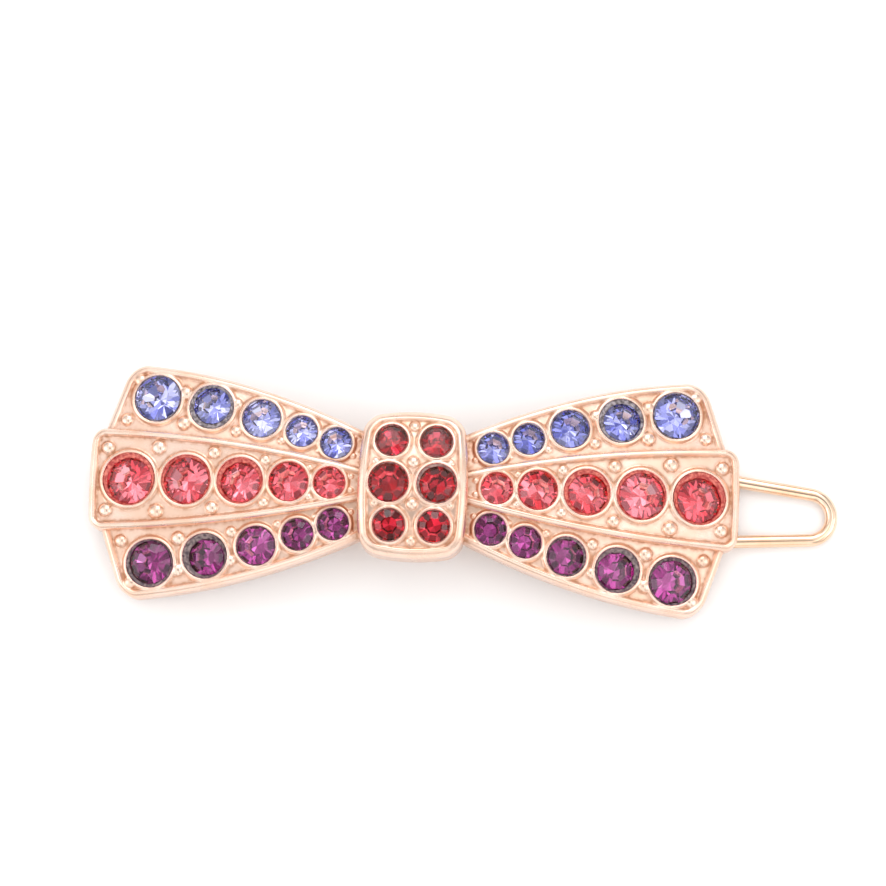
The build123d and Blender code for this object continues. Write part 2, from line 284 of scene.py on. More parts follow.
def make_piece(
    name: str,
    points: np.ndarray,
    faces: list | np.ndarray,
    materials: list[bpy.types.Material],
    smooth: bool = True,
    face_material: np.ndarray | None = None,
) -> bpy.types.Object:
    """Puts points and faces into a mesh object at the origin.

    Args:
        name: the piece's name.
        points: vertices in millimetres, one row each.
        faces: vertex numbers of each face.
        materials: the piece's material slots.
        smooth: True for rounded shading.
        face_material: slot number of each face.

    Returns:
        The new object, linked to the scene.
    """
    mesh = bpy.data.meshes.new(name)
    faces = faces.tolist() if isinstance(faces, np.ndarray) else faces
    mesh.from_pydata((points.reshape(-1, 3) * MM).tolist(), [], faces)
    for material in materials:
        mesh.materials.append(material)
    count = len(mesh.polygons)
    mesh.polygons.foreach_set("use_smooth", np.full(count, smooth))
    if face_material is not None:
        mesh.polygons.foreach_set("material_index", face_material.astype(np.int32))
    mesh.update()
    piece = bpy.data.objects.new(name, mesh)
    bpy.context.scene.collection.objects.link(piece)
    return piece


def write_attribute(piece: bpy.types.Object, name: str, domain: str, values: np.ndarray) -> None:
    """Stores one number per vertex or face on a piece."""
    layer = piece.data.attributes.new(name, "FLOAT", domain)
    layer.data.foreach_set("value", values.ravel().astype(np.float32))


def grid_faces(rows: int, columns: int, start: int = 0, closed: tuple = (False, False)) -> np.ndarray:
    """Quads of a grid of points, counted row by row, that face along row direction x column direction.

    Args:
        rows, columns: the grid's size.
        start: number of its first point.
        closed: whether the last row joins the first, and the last column the first.

    Returns:
        Four point numbers for each quad.
    """
    i, j = np.meshgrid(np.arange(rows - 1 + closed[0]), np.arange(columns - 1 + closed[1]), indexing="ij")
    here, row, after = i * columns, (i + 1) % rows * columns, (j + 1) % columns
    return start + np.stack([here + j, row + j, row + after, here + after], axis=2).reshape(-1, 4)


def grid(along: tuple, across: tuple) -> list[np.ndarray]:
    """Two parameters on a grid, each from its (start, end, count), rows along the first."""
    return np.meshgrid(np.linspace(*along), np.linspace(*across), indexing="ij")


def closed_slab(top: np.ndarray, bottom: np.ndarray) -> tuple[np.ndarray, np.ndarray]:
    """Joins two grids of the same plan into a closed body: one above, one below, with a wall round the edge.

    Args:
        top: rows x columns x 3, with rows running along +X and columns along +Y.
        bottom: the same, underneath.

    Returns:
        The points and the quads.
    """
    rows, columns = top.shape[:2]
    under = rows * columns
    number = np.arange(under).reshape(rows, columns)
    ring = np.concatenate([number[:-1, 0], number[-1, :-1], number[:0:-1, -1], number[0, :0:-1]])
    after = np.roll(ring, -1)
    wall = np.stack([ring + under, after + under, after, ring], axis=1)
    faces = np.concatenate([grid_faces(rows, columns), grid_faces(rows, columns, under)[:, ::-1], wall])
    return np.concatenate([top.reshape(-1, 3), bottom.reshape(-1, 3)]), faces


def smooth_step(low: float, high: float, value: np.ndarray) -> np.ndarray:
    """Rises from 0 to 1 between low and high along 3t^2 - 2t^3."""
    t = np.clip((value - low) / (high - low), 0, 1)
    return t * t * (3 - 2 * t)


def soft_max(a: np.ndarray, b: np.ndarray, blend: float) -> np.ndarray:
    """The larger of two heights, with the corner between them rounded over the blend height."""
    h = np.clip(0.5 + 0.5 * (a - b) / blend, 0, 1)
    return b + (a - b) * h + blend * h * (1 - h)


def round_corner(u: np.ndarray, v: np.ndarray, share_u: float, share_v: float) -> tuple:
    """Bends the corner square at u = v = 1 into a quarter disc.

    With a and b from 0 to 1 inside it, a becomes a sqrt(1 - b^2 / 2) and b becomes b sqrt(1 - a^2 / 2).

    Args:
        u, v: parameters from 0 to 1.
        share_u, share_v: the corner's size along each.

    Returns:
        The bent u and v.
    """
    a = np.clip((u - 1 + share_u) / share_u, 0, 1)
    b = np.clip((v - 1 + share_v) / share_v, 0, 1)
    inside = (a > 0) & (b > 0)
    u_bent = 1 - share_u + share_u * a * np.sqrt(1 - b * b / 2)
    v_bent = 1 - share_v + share_v * b * np.sqrt(1 - a * a / 2)
    return np.where(inside, u_bent, u), np.where(inside, v_bent, v)


def edge_distance(x: np.ndarray, y: np.ndarray, sides: tuple) -> np.ndarray:
    """Distance in plan from each grid point to the nearest point of an edge line, refilled four times finer.

    Args:
        x, y: the grid.
        sides: index expressions of the grid's rows and columns that make up the edge, in order.

    Returns:
        The distances.
    """
    edge = np.concatenate([np.stack([x[side], y[side]], axis=1) for side in sides])
    fine = np.linspace(0, len(edge) - 1, 4 * len(edge))
    line = np.stack([np.interp(fine, np.arange(len(edge)), edge[:, k]) for k in (0, 1)], axis=1)
    nearest = [
        np.sqrt(((px[:, None] - line[:, 0]) ** 2 + (py[:, None] - line[:, 1]) ** 2).min(axis=1))
        for px, py in zip(x, y)
    ]
    return np.stack(nearest)


# ---------------------------------------------------------------- casting


@dataclass(frozen=True)
class Stone:
    """One rhinestone's place: the middle of its girdle, its axis and its diameter, read from its CAD node."""

    name: str
    hue: Hue
    centre: np.ndarray
    axis: np.ndarray
    diameter: float


@dataclass
class Arch:
    """The arched back that both wings follow, with the side panels leaning away from the middle."""

    radius: float = 135.0
    pad: float = 0.15

    def lift(self, x: np.ndarray, y: np.ndarray, height: np.ndarray | float, lean: float) -> np.ndarray:
        """Height above the clip's own plane of a point at a given height above the back.

        The section along X is a circle, divided by the cosine of the lean, less the lean's tangent times |y|.

        Args:
            x, y: places in plan.
            height: height above the back.
            lean: degrees that the panel slopes.

        Returns:
            Z at each place.
        """
        ring = np.sqrt((self.radius + height) ** 2 - x**2)
        slope = math.radians(lean)
        return self.pad + (ring - self.radius) / math.cos(slope) - np.abs(y) * math.tan(slope)

    def axis(self, x: float, y: float, lean: float) -> np.ndarray:
        """The outward direction of the leaning arch.

        Args:
            x, y: a place in plan.
            lean: degrees that the panel slopes.

        Returns:
            A unit vector.
        """
        across = math.tan(math.radians(lean)) * np.sign(y)
        out = np.array([x / math.sqrt(self.radius**2 - x**2), across, 1.0])
        return out / np.linalg.norm(out)


@dataclass
class Relief:
    """The raised work that every panel shares: a rim, collars round the seats and beads between them."""

    rim: float
    floor: float
    seat: float
    back: float
    rim_width: float = 0.88
    rim_slope: float = 0.46
    edge_round: float = 0.46
    collar_crest: float = 0.2
    collar_foot: float = 0.6
    collar_height: float = 0.35
    bead_height: float = 0.34
    lip: float = 0.07
    blend: float = 0.12
    seat_undercut: float = 0.02
    bead_foot: float = 0.02
    bead_reach: float = 1.2
    # how far round and how deep the painted shade in the hollows reaches
    shade_reach: int = 12
    shade_depth: float = 0.11

    def surface(
        self,
        x: np.ndarray,
        y: np.ndarray,
        edge: np.ndarray,
        seats: list[tuple[float, float, float]],
        beads: list[tuple[float, float, float]],
    ) -> np.ndarray:
        """Height of the worked face above the back.

        Rim: full height from the edge, an S-curve down to the floor, less a quarter round at the edge.
        Collar: level at the crest, then an S-curve down to its foot. Bead: the top of a flattened ball.
        Seat: a cone that falls from the collar's inside to a point under the stone.

        Args:
            x, y: the grid in plan.
            edge: distance to the rimmed edge.
            seats: x, y and diameter of each stone.
            beads: x, y and diameter of each bead.

        Returns:
            The heights, one for each grid point.
        """
        inner = self.rim_width - self.rim_slope
        height = self.floor + (self.rim - self.floor) * (1 - smooth_step(inner, self.rim_width, edge))
        for sx, sy, size in seats:
            reach = np.hypot(x - sx, y - sy) - size / 2
            slope = 1 - smooth_step(self.collar_crest, self.collar_foot, reach)
            height = soft_max(height, self.floor + self.collar_height * slope, self.blend)
        for bx, by, size in beads:
            reach = 2 * np.hypot(x - bx, y - by) / size
            ball = self.bead_height * size * np.sqrt(np.clip(1 - reach**2, 0, None))
            raised = soft_max(height, self.floor + ball + self.bead_foot, self.blend / 4)
            height = np.where(reach < self.bead_reach, raised, height)
        for sx, sy, size in seats:
            reach, radius = np.hypot(x - sx, y - sy), size / 2
            cone = self.seat - TIP_DEPTH * size * (1 - reach / radius)
            wall = smooth_step(radius - self.seat_undercut, radius + self.lip, reach)
            height = np.where(reach < radius + self.lip, cone + (height - cone) * wall, height)
        r = self.edge_round
        return height - (r - np.sqrt(r * r - np.clip(r - edge, 0, r) ** 2))

    def shade_in_hollows(self, height: np.ndarray, edge: np.ndarray) -> np.ndarray:
        """How deep each point of the worked face lies in the hollows, a mask for the shade painted there.

        It is the mean height of the points around it less its own, over the shade's depth, but 0 in the seats
        and fading to 0 on the outer edge.

        Args:
            height: height of the worked face.
            edge: distance to the rimmed edge.

        Returns:
            0 where it is open to 1 where it is deep.
        """
        mean = height
        for _ in range(self.shade_reach):
            padded = np.pad(mean, 1, mode="edge")
            mean = (padded[2:, 1:-1] + padded[:-2, 1:-1] + padded[1:-1, 2:] + padded[1:-1, :-2]) / 4
        deep = np.clip((mean - height) / self.shade_depth, 0, 1)
        return deep * (height > self.seat) * smooth_step(0, self.edge_round, edge)

    def underside(self, edge: np.ndarray) -> np.ndarray:
        """Height of the back, with a quarter round at the edge."""
        r = 0.7 * self.edge_round
        return self.back + r - np.sqrt(r * r - np.clip(r - edge, 0, r) ** 2)


def through(points: tuple, x: np.ndarray | float) -> np.ndarray | float:
    """The parabola through three points, from their divided differences.

    Args:
        points: three (x, y) pairs.
        x: where to read it.

    Returns:
        Its y at x.
    """
    (x0, y0), (x1, y1), (x2, y2) = points
    first = (y1 - y0) / (x1 - x0)
    second = ((y2 - y1) / (x2 - x1) - first) / (x2 - x0)
    return y0 + first * (x - x0) + second * (x - x0) * (x - x1)


@dataclass
class BowCasting:
    """Both wings and the waist between them, cast in one piece with a raised panel between two lower ones."""

    finish: bpy.types.Material
    arch: Arch = field(default_factory=Arch)
    lean: float = 5.5
    pitch: float = 0.08
    root: float = 3.5
    centre_edge: tuple = ((3.5, 1.17), (15.0, 3.45), (29.3, 4.65))
    side_edge: tuple = ((3.5, 4.3), (13.5, 8.3), (26.1, 10.75))
    side_tail: tuple = (28.37, 4.0)
    tuck: float = 0.6
    centre_corner: float = 1.25
    side_corner: float = 1.7
    centre_bulge: float = 0.15
    bulge_start: float = 0.9
    centre_relief: Relief = field(default_factory=lambda: Relief(rim=3.15, floor=2.72, seat=2.53, back=0.0))
    side_relief: Relief = field(default_factory=lambda: Relief(rim=2.85, floor=2.47, seat=2.28, back=-0.45))
    bead_size: float = 0.078
    coral_bead: float = 0.85
    end_bead: float = 0.85
    root_bead: float = 0.6
    centre_shares: tuple = (0.83, 0.83)
    side_shares: tuple = (0.45, 0.64)
    centre_ends: tuple = ((27.85, 2.85), (27.85, -2.85))
    side_ends: tuple = ((25.35, 9.3), (26.35, 5.55))
    centre_roots: tuple = ((5.6, 0.62), (5.6, -0.62))
    side_roots: tuple = ((5.5, 2.55), (5.45, 4.25))
    # painted shade along the seam under the centre panel (depth, fade) and beside the knot (depth, start,
    # fade)
    seam_shade: tuple = (0.75, 0.22)
    knot_shade: tuple = (0.8, 4.9, 0.5)
    waist_half: float = 4.9
    waist_top: float = 2.3
    waist_overlap: float = 0.45
    waist_counts: tuple = (90, 110)
    pad_half: tuple = (4.0, 3.5)
    pad_edge: float = 0.12

    def beads(
        self, row: list, scale: float, edges: tuple[Edge, Edge], shares: tuple, ends: tuple, roots: tuple
    ) -> list:
        """Places a bead on each side of the row between each two stones, plus those at both ends.

        Args:
            row: x, y and diameter of each stone from the knot outwards.
            scale: a bead's diameter over the square of the stones'.
            edges: functions that give the outer and the inner edge beside the row at x.
            shares: where the beads lie between the row and those edges.
            ends: x and y of the end beads.
            roots: x and y of the small beads beside the knot.

        Returns:
            x, y and diameter of each bead, which grows with the square of the stones' diameter.
        """
        places = []
        (outer, inner), (share_out, share_in) = edges, shares
        for (x0, y0, d0), (x1, y1, d1) in zip(row, row[1:]):
            x, y, size = (x0 + x1) / 2, (y0 + y1) / 2, scale * ((d0 + d1) / 2) ** 2
            places.append((x, y + share_out * (outer(x) - y), size))
            places.append((x, y + share_in * (inner(x) - y), size))
        last = self.end_bead * scale * row[-1][2] ** 2
        return places + [(x, y, last) for x, y in ends] + [(x, y, self.root_bead) for x, y in roots]

    def centre_plan(self) -> tuple[np.ndarray, np.ndarray, np.ndarray]:
        """Lays out the right wing's centre panel: u along it, s across it as a share of its half-height.

        Its outer corners are round, and its end stands out in a shallow parabola.

        Returns:
            The grid's x and y and its distance to the rimmed edge.
        """
        tip, half = self.centre_edge[-1]
        length = tip - self.root
        u, s = grid((0, 1, round(length / self.pitch)), (-1, 1, round(2 * half / self.pitch) | 1))
        u, v = round_corner(u, np.abs(s), self.centre_corner / length, self.centre_corner / half)
        x = self.root + length * u
        y = np.sign(s) * v * through(self.centre_edge, x)
        x = x + self.centre_bulge * (1 - v * v) * smooth_step(self.bulge_start, 1.0, u)
        return x, y, edge_distance(x, y, (np.s_[:, 0], np.s_[-1], np.s_[::-1, -1]))

    def side_plan(self) -> tuple[np.ndarray, np.ndarray, np.ndarray]:
        """Lays out the right wing's upper side panel: u along it, s from its tucked-in edge to its outer one.

        Returns:
            The grid's x and y and its distance to the rimmed edge.
        """
        tip, top = self.side_edge[-1]
        tail, low = self.side_tail
        length = tail - self.root
        u, s = grid((0, 1, round(length / self.pitch)), (0, 1, round((top - low) / self.pitch)))
        u, s = round_corner(u, s, self.side_corner / length, self.side_corner / (top - low))
        inner_x, outer_x = self.root + length * u, self.root + (tip - self.root) * u
        inner_y = through(self.centre_edge, inner_x) - self.tuck
        x = inner_x + (outer_x - inner_x) * s
        y = inner_y + (through(self.side_edge, outer_x) - inner_y) * s
        return x, y, edge_distance(x, y, (np.s_[:, -1], np.s_[-1, ::-1]))

    def panel(
        self, name: str, plan: tuple, relief: Relief, lean: float, work: tuple, mirror: tuple
    ) -> bpy.types.Object:
        """Makes one panel of one wing as a closed body.

        Painted shade darkens its hollows, and fades exponentially away from the next panel's seam and from
        the knot.

        Args:
            name: the piece's name.
            plan: the grid and its distance to the rimmed edge.
            relief: the raised work.
            lean: degrees that the panel slopes.
            work: the seats and the beads.
            mirror: signs of X and Y.

        Returns:
            The panel.
        """
        x, y, edge = plan
        height = relief.surface(x, y, edge, *work)
        # painted shade: darkening in the hollows, along the seam under the centre panel and beside the knot
        painted_shade = relief.shade_in_hollows(height, edge)
        if lean:
            deepest, fade = self.seam_shade
            gap = y - through(self.centre_edge, x)
            painted_shade = np.maximum(painted_shade, deepest * np.exp(-np.clip(gap, 0, None) / fade))
        deepest, start, fade = self.knot_shade
        painted_shade = np.maximum(painted_shade, deepest * np.exp(-np.clip(x - start, 0, None) / fade))
        flip_x, flip_y = mirror
        sheets = [
            np.stack([flip_x * x, flip_y * y, self.arch.lift(x, y, h, lean)], axis=2)
            for h in (height, relief.underside(edge))
        ]
        if flip_x < 0:
            sheets, painted_shade = [sheet[::-1] for sheet in sheets], painted_shade[::-1]
        if flip_y < 0:
            sheets, painted_shade = [sheet[:, ::-1] for sheet in sheets], painted_shade[:, ::-1]
        points, faces = closed_slab(*sheets)
        piece = make_piece(name, points, faces, [self.finish])
        write_attribute(piece, "hollow_shade", "POINT", np.concatenate([painted_shade.ravel(), np.zeros(painted_shade.size)]))
        return piece

    def waist(self) -> bpy.types.Object:
        """Makes the bar under the knot, with the flat pad standing out of its back in an S-curve.

        Returns:
            The waist.
        """
        reach, half = self.root + self.waist_overlap, self.waist_half
        x, y = grid((-reach, reach, self.waist_counts[0]), (-half, half, self.waist_counts[1]))
        off_pad = np.maximum(np.abs(x) - self.pad_half[0], np.abs(y) - self.pad_half[1])
        back = self.arch.lift(x, y, 0.0, 0.0) * smooth_step(-self.pad_edge, self.pad_edge, off_pad)
        top = np.stack([x, y, np.full_like(x, self.waist_top)], axis=2)
        points, faces = closed_slab(top, np.stack([x, y, back], axis=2))
        return make_piece("casting_waist", points, faces, [self.finish])

    def build(self, stones: dict[str, Stone]) -> list[bpy.types.Object]:
        """Makes the panels of both wings and the waist.

        Args:
            stones: every stone by its CAD name.

        Returns:
            The pieces.
        """
        rows = {
            hue: [
                (*stone.centre[:2], stone.diameter)
                for stone in (stones[f"stone_right_{hue}_{k}"] for k in range(1, 6))
            ]
            for hue in ("coral", "blue")
        }

        def centre_pocket(x: float) -> float:
            """Half-height of the centre panel's floor."""
            return through(self.centre_edge, x) - self.centre_relief.rim_width

        def side_pocket(x: float) -> float:
            """Outer edge of the side panel's floor."""
            return through(self.side_edge, x) - self.side_relief.rim_width

        centre_edges = (centre_pocket, lambda x: -centre_pocket(x))
        side_edges = (side_pocket, lambda x: through(self.centre_edge, x))
        centre_work = (self.centre_shares, self.centre_ends, self.centre_roots)
        side_work = (self.side_shares, self.side_ends, self.side_roots)
        centre_beads = self.beads(rows["coral"], self.bead_size * self.coral_bead, centre_edges, *centre_work)
        side_beads = self.beads(rows["blue"], self.bead_size, side_edges, *side_work)
        centre = (self.centre_plan(), self.centre_relief, 0.0, (rows["coral"], centre_beads))
        side = (self.side_plan(), self.side_relief, self.lean, (rows["blue"], side_beads))
        pieces = [self.waist()]
        for wing, flip in (("left", -1), ("right", 1)):
            for part, design, up in (("centre", centre, 1), ("upper", side, 1), ("lower", side, -1)):
                pieces.append(self.panel(f"casting_{wing}_{part}", *design, (flip, up)))
        return pieces


@dataclass
class KnotCap:
    """The domed, barrel-shaped knot: a saddle over the waist with its own rim, collars and beads."""

    finish: bpy.types.Material
    width: float = 9.85
    tip_width: float = 9.0
    taper: float = 0.02
    length: float = 13.2
    corner: float = 1.6
    end_bow: float = 0.6
    top: float = 4.9
    dome: float = 20.0
    skirt: float = -0.3
    slot_half: float = 4.95
    slot_top: float = 2.3
    pitch: float = 0.07
    relief: Relief = field(
        default_factory=lambda: Relief(
            rim=0.0, floor=-0.36, seat=-0.54, back=0.0,
            rim_width=1.05, rim_slope=0.42, edge_round=0.75, collar_height=0.33,
        )
    )
    beads: tuple = ((0.0, 5.2, 1.0), (0.0, 1.9, 1.1), (3.35, 1.9, 0.72))

    def crown(self, y: np.ndarray, sink: np.ndarray | float) -> np.ndarray:
        """Height of the dome at y: a circle about the X direction, sunk below its top."""
        return self.top - self.dome + np.sqrt((self.dome + sink) ** 2 - y**2)

    def build(self, stones: dict[str, Stone]) -> bpy.types.Object:
        """Makes the knot as a closed body.

        Its width shrinks with the square of y, its length with the square of x, and it tapers along y.

        Args:
            stones: every stone by its CAD name.

        Returns:
            The piece.
        """
        half_x, half_y = self.width / 2, self.length / 2
        s, t = grid((-1, 1, round(self.width / self.pitch) | 1), (-1, 1, round(self.length / self.pitch) | 1))
        u, v = round_corner(np.abs(s), np.abs(t), self.corner / half_x, self.corner / half_y)
        y = np.sign(t) * v * (half_y - self.end_bow * u * u)
        pull = (self.width - self.tip_width) / 2
        x = np.sign(s) * u * (half_x - pull * v * v) * (1 - self.taper * y / half_y)
        edge = edge_distance(x, y, (np.s_[:, 0], np.s_[-1], np.s_[::-1, -1], np.s_[0, ::-1]))
        seats = [(*stone.centre[:2], stone.diameter) for stone in stones.values() if stone.hue is Hue.RED]
        beads = sorted({(a * x0, b * y0, d) for x0, y0, d in self.beads for a in (-1, 1) for b in (-1, 1)})
        height = self.relief.surface(x, y, edge, seats, beads)
        # painted shade in the knot's hollows
        painted_shade = self.relief.shade_in_hollows(height, edge)
        under = np.where(np.abs(y) < self.slot_half, self.slot_top, self.skirt)
        top = self.crown(y, height)
        points, faces = closed_slab(np.stack([x, y, top], axis=2), np.stack([x, y, under], axis=2))
        piece = make_piece("knot_body", points, faces, [self.finish])
        write_attribute(piece, "hollow_shade", "POINT", np.concatenate([painted_shade.ravel(), np.zeros(painted_shade.size)]))
        return piece


# ---------------------------------------------------------------- stones


@dataclass
class StoneSetter:
    """Cuts each rhinestone, beds it in its cone seat and runs cement round it.

    The loose stones are a little small for their seats, so they lie deeper and to one side, in more cement.
    Each has its share of the seat's diameter and the way it lies in it, in degrees.
    """

    crown: float = 0.19
    table: float = 0.56
    girdle: float = 0.025
    pavilion: float = 0.37
    lower: float = 0.6
    break_share: float = 0.44
    tight: float = 0.995
    slack: float = 0.55
    wobble: float = 0.012
    seed: int = 36
    cement_inside: float = 0.98
    cement_outside: float = 0.04
    cement_low: float = 0.03
    cement_high: float = 0.08
    cement_thick: float = 0.1
    cement_band: tuple = ((0.0, 0.0), (0.35, 0.1), (0.7, 0.42), (1.0, 1.0))
    cement_count: int = 48
    loose: dict = field(
        default_factory=lambda: {
            "left_coral_3": (0.88, -80), "left_coral_4": (0.95, -90), "left_coral_5": (0.89, -80),
            "right_coral_3": (0.88, -40), "right_coral_4": (0.95, -45), "right_coral_5": (0.87, -80),
            "left_blue_4": (0.86, 90), "right_blue_4": (0.87, -45),
            "left_purple_4": (0.83, -40), "left_purple_5": (0.93, 80), "right_purple_3": (0.94, -150),
            "right_purple_4": (0.85, -140), "right_purple_5": (0.93, -135), "knot_red_4": (0.93, -45),
        }
    )

    def ring(self, radius: float, height: float) -> np.ndarray:
        """Eight points evenly round the axis."""
        angle = 2 * np.pi * np.arange(8) / 8
        return np.stack([radius * np.cos(angle), radius * np.sin(angle), np.full(8, height)], axis=1)

    def cut(self) -> tuple[np.ndarray, list, np.ndarray]:
        """A stone of radius 1: table, 8 mains and 8 breaks above the girdle, 8 mains and 8 breaks below.

        Girdle points stand in pairs, a break wide. Each lower main is the plane through the tip and the two
        points at its rim, so a lower break starts where two such planes cross.

        Returns:
            The points, the faces and each face's slot: 0 for clear glass, 1 for the foiled girdle and back.
        """
        gap = self.break_share / 2
        turns = np.array([[k + gap, k + 1 - gap] for k in range(8)]).ravel()
        angle = 2 * np.pi * turns / 8
        rim = np.stack([np.cos(angle), np.sin(angle), np.zeros(16)], axis=1)
        tip = -2 * self.pavilion
        slope = math.cos(math.pi / 8) / math.cos(math.pi * (0.5 - gap) / 4)
        face, belt_top = self.ring(self.table, 2 * self.crown), rim + [0, 0, 2 * self.girdle]
        crossings = self.ring(self.lower, tip * (1 - slope * self.lower))
        points = np.concatenate([face, belt_top, rim, crossings, [[0.0, 0.0, tip]]])
        upper, belt, low, end = 8, 24, 40, 48
        faces, slots = [list(range(8))], [0]
        for k in range(8):
            n, a, b, c = (k + 1) % 8, 2 * k, 2 * k + 1, (2 * k + 2) % 16
            clear = [[k, upper + a, upper + b, n], [n, upper + b, upper + c]]
            foiled = [
                [upper + a, belt + a, belt + b, upper + b],
                [upper + b, belt + b, belt + c, upper + c],
                [end, low + n, belt + b, belt + a, low + k],
                [low + n, belt + c, belt + b],
            ]
            faces += clear + foiled
            slots += [0] * len(clear) + [1] * len(foiled)
        return points, faces, np.array(slots)

    def turned(self, angle: float) -> np.ndarray:
        """The matrix that turns rows of points about the third axis."""
        c, s = math.cos(angle), math.sin(angle)
        return np.array([[c, s, 0.0], [-s, c, 0.0], [0.0, 0.0, 1.0]])

    def basis(self, axis: np.ndarray) -> np.ndarray:
        """Finds two directions across a stone, near +X and +Y.

        Args:
            axis: the stone's outward direction.

        Returns:
            Those directions and the axis, as rows.
        """
        across = np.cross([0.0, 1.0, 0.0], axis)
        across /= np.linalg.norm(across)
        return np.stack([across, np.cross(axis, across), axis])

    def build(self, stones: dict[str, Stone]) -> list[tuple[str, bpy.types.Object]]:
        """Makes every stone and its ring of cement.

        Args:
            stones: every stone by its CAD name.

        Returns:
            Pairs of the CAD node and the piece, stones first, with "" for a ring of cement.
        """
        glass = {hue: finish.make() for hue, finish in GLASS.items()}
        cement = {hue: finish.make() for hue, finish in CEMENT.items()}
        points, faces, slots = self.cut()
        draw = np.random.default_rng(self.seed)
        pieces = []
        for name, stone in stones.items():
            share, way = self.loose.get(name.removeprefix("stone_"), (self.tight, 0))
            radius = stone.diameter / 2
            drop = TIP_DEPTH * stone.diameter * (1 - share)
            rows = self.basis(stone.axis)
            slack = self.slack * radius * (1 - share)
            shift = slack * np.array([math.cos(math.radians(way)), math.sin(math.radians(way)), 0.0])
            turn = draw.uniform(0, np.pi / 4)
            tilt = draw.normal(0, self.wobble, 2)
            local = points @ self.turned(turn) * radius * share
            local[:, 2] += local[:, :2] @ tilt - drop
            local += shift
            gem, place = name.replace("stone", "gem"), local @ rows + stone.centre
            piece = make_piece(gem, place, faces, list(glass[stone.hue]), smooth=False, face_material=slots)
            # a random share of the bright foil colour for each face, painted sparkle
            write_attribute(piece, "facet_sparkle", "FACE", smooth_step(0, 1, draw.uniform(0, 1, len(faces))))
            pieces.append((name, piece))
            pieces.append(("", self.bed(name, stone, (share, drop, shift), rows, cement[stone.hue])))
        return pieces

    def bed(
        self, name: str, stone: Stone, lie: tuple, rows: np.ndarray, finish: bpy.types.Material
    ) -> bpy.types.Object:
        """Makes the ring of cement: a curved band that climbs from girdle to seat wall and returns under.

        Each point lies on a circle whose middle goes from the stone's to the seat's as the band climbs.

        Args:
            name: the stone's CAD name.
            stone: where the stone sits.
            lie: the stone's share of its seat, its drop and its shift.
            rows: the seat's directions.
            finish: the cement.

        Returns:
            The ring.
        """
        share, drop, shift = lie
        radius = stone.diameter / 2
        inner, outer = radius * share * self.cement_inside, radius + self.cement_outside
        low, high = self.cement_low - drop, self.cement_high
        climb, rise = np.array([*self.cement_band, self.cement_band[-1], self.cement_band[0]]).T
        level = rise * (high - low) + low
        level[-2:] -= self.cement_thick
        count = self.cement_count
        angle = 2 * np.pi * np.arange(count)[:, None] / count
        reach = inner + (outer - inner) * climb
        x = np.cos(angle) * reach + shift[0] * (1 - climb)
        y = np.sin(angle) * reach + shift[1] * (1 - climb)
        local = np.stack([x, y, np.broadcast_to(level, x.shape)], axis=2)
        faces = grid_faces(count, len(climb), closed=(True, True))
        points = local.reshape(-1, 3) @ rows + stone.centre
        return make_piece(name.replace("stone", "cement"), points, faces, [finish])


# ---------------------------------------------------------------- wire


@dataclass
class SpringLoop:
    """Drawn wire bent to a long U, whose inturned ends turn in the lug."""

    finish: bpy.types.Material
    wire: float = 1.15
    pivot: tuple = (-24.5, -0.4, -3.35)
    upper_leg: tuple = ((0.0, 0.4), (0.0, 3.0), (50.5, 3.1), (62.7, 1.4))
    lower_leg: tuple = ((62.7, -2.44), (50.5, -3.1), (0.0, -3.0), (0.0, -0.4))
    bends: tuple = (0.9, 30.0, 2.05)
    drop: float = 0.5
    arc_points: int = 14
    sides: int = 32

    def route(self) -> np.ndarray:
        """Works out the centre line in the loop's own plane: straight runs with a tangent arc at each corner.

        Returns:
            Its points, one row each.
        """
        corners = np.array(self.upper_leg + self.lower_leg)
        radii = [*self.bends, *self.bends[::-1]]
        line = [corners[:1]]
        for before, here, after, radius in zip(corners, corners[1:], corners[2:], radii):
            a, b = before - here, after - here
            a, b = a / np.linalg.norm(a), b / np.linalg.norm(b)
            half_angle = math.acos(np.clip(a @ b, -1, 1)) / 2
            middle = (a + b) / np.linalg.norm(a + b)
            centre = here + middle * radius / math.sin(half_angle)
            start, end = here + a * radius / math.tan(half_angle), here + b * radius / math.tan(half_angle)
            first, last = start - centre, end - centre
            turn = math.atan2(first[0] * last[1] - first[1] * last[0], first @ last)
            angle = np.linspace(0, turn, max(8, int(abs(turn) * self.arc_points)))
            x = first[0] * np.cos(angle) - first[1] * np.sin(angle)
            y = first[0] * np.sin(angle) + first[1] * np.cos(angle)
            line.append(centre + np.stack([x, y], axis=1))
        line.append(corners[-1:])
        return np.concatenate(line)

    def build(self) -> bpy.types.Object:
        """Carries a circle along the route, closed by a flat disc at each end.

        Returns:
            The loop.
        """
        flat = self.route()
        slope = self.drop / self.upper_leg[-1][0]
        scale = math.hypot(1, slope)
        forward = np.array([1.0, 0.0, -slope]) / scale
        line = np.array(self.pivot) + flat[:, :1] * forward + flat[:, 1:] * np.array([0.0, 1.0, 0.0])
        along = np.gradient(line, axis=0)
        along /= np.linalg.norm(along, axis=1)[:, None]
        up = np.array([slope, 0.0, 1.0]) / scale
        side = np.cross(up, along)
        angle = 2 * np.pi * np.arange(self.sides) / self.sides
        r = self.wire / 2
        out, rise = r * np.cos(angle)[None, :, None], r * np.sin(angle)[None, :, None]
        shell = line[:, None] + out * side[:, None] + rise * up
        count, n = len(line), self.sides
        quads = grid_faces(count, n, closed=(False, True)).tolist()
        caps = [list(range(n))[::-1], list(range((count - 1) * n, count * n))]
        return make_piece("spring_loop", shell, quads + caps, [self.finish])


# ---------------------------------------------------------------- studio


def stood(right: np.ndarray, up: np.ndarray, back: np.ndarray, place: np.ndarray) -> Matrix:
    """The matrix of a camera or lamp from its three directions and its place in metres."""
    return Matrix([*np.stack([right, up, back, place], axis=1).tolist(), [0.0, 0.0, 0.0, 1.0]])


